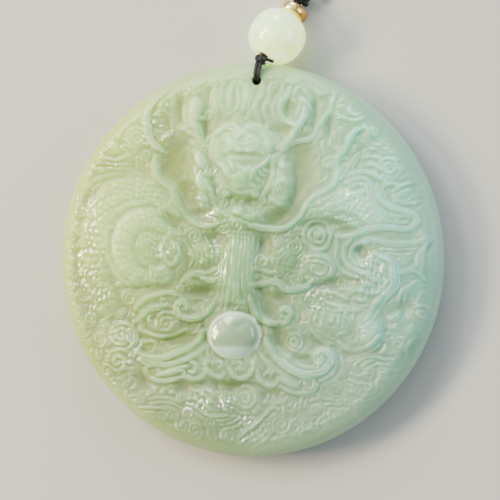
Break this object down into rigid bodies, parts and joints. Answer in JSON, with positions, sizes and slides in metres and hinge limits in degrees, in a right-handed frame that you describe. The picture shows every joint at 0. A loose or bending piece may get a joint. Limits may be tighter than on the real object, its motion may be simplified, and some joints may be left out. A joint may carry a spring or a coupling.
{
  "type": "chinese jade pendant",
  "caption": "Round jade pendant with a dragon carved in relief, a drilled jade bead, a gold spacer and a braided neck cord.",
  "frame": {"origin": "centre of the disc on its flat back", "axes": "+Z out of the carved face, +Y from the disc's centre to its hole and the neck cord"},
  "size_m": [0.1682, 0.2275, 0.0084],
  "materials": {
    "jade": "polished, translucent",
    "gold": "polished",
    "cord": "satin"
  },
  "bodies": {
    "root": {"jade_disc": "jade", "hang_thread": "cord", "lower_knot": "cord", "jade_bead": "jade", "gold_spacer": "gold", "bead_thread": "cord", "upper_knot": "cord", "neck_braid": "cord", "closing_knot": "cord"}
  },
  "joints": []
}
